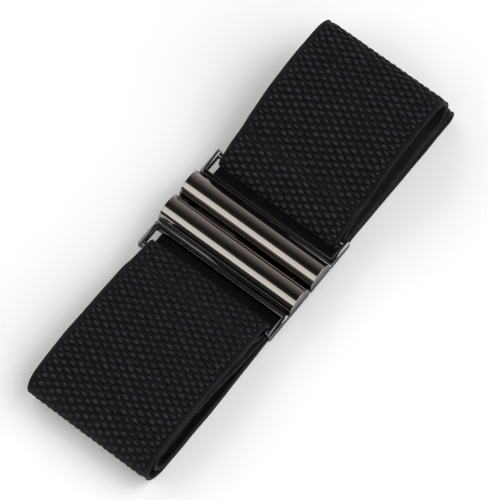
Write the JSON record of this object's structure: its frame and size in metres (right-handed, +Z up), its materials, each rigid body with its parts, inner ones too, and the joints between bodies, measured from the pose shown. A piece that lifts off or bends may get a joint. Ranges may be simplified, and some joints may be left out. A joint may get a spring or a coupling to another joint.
{
  "type": "elastic stretch belt",
  "caption": "Wide elastic waist belt with a pebbled weave and a polished interlocking metal buckle, fastened and lying flat with its loop folded in half.",
  "frame": {"origin": "middle of the folded belt's box, on the surface that it lies on", "axes": "+X along the folded belt towards the end whose two bends stand one above the other, +Y across the strap, +Z up"},
  "size_m": [0.2024, 0.067, 0.0325],
  "materials": {
    "elastic_webbing": "matt black woven elastic with a pebbled face and a soft sheen",
    "gunmetal": "polished dark gunmetal plating"
  },
  "bodies": {
    "root": {"strap": "elastic_webbing", "buckle_keeper_half": "gunmetal", "buckle_hook_half": "gunmetal"}
  },
  "joints": []
}
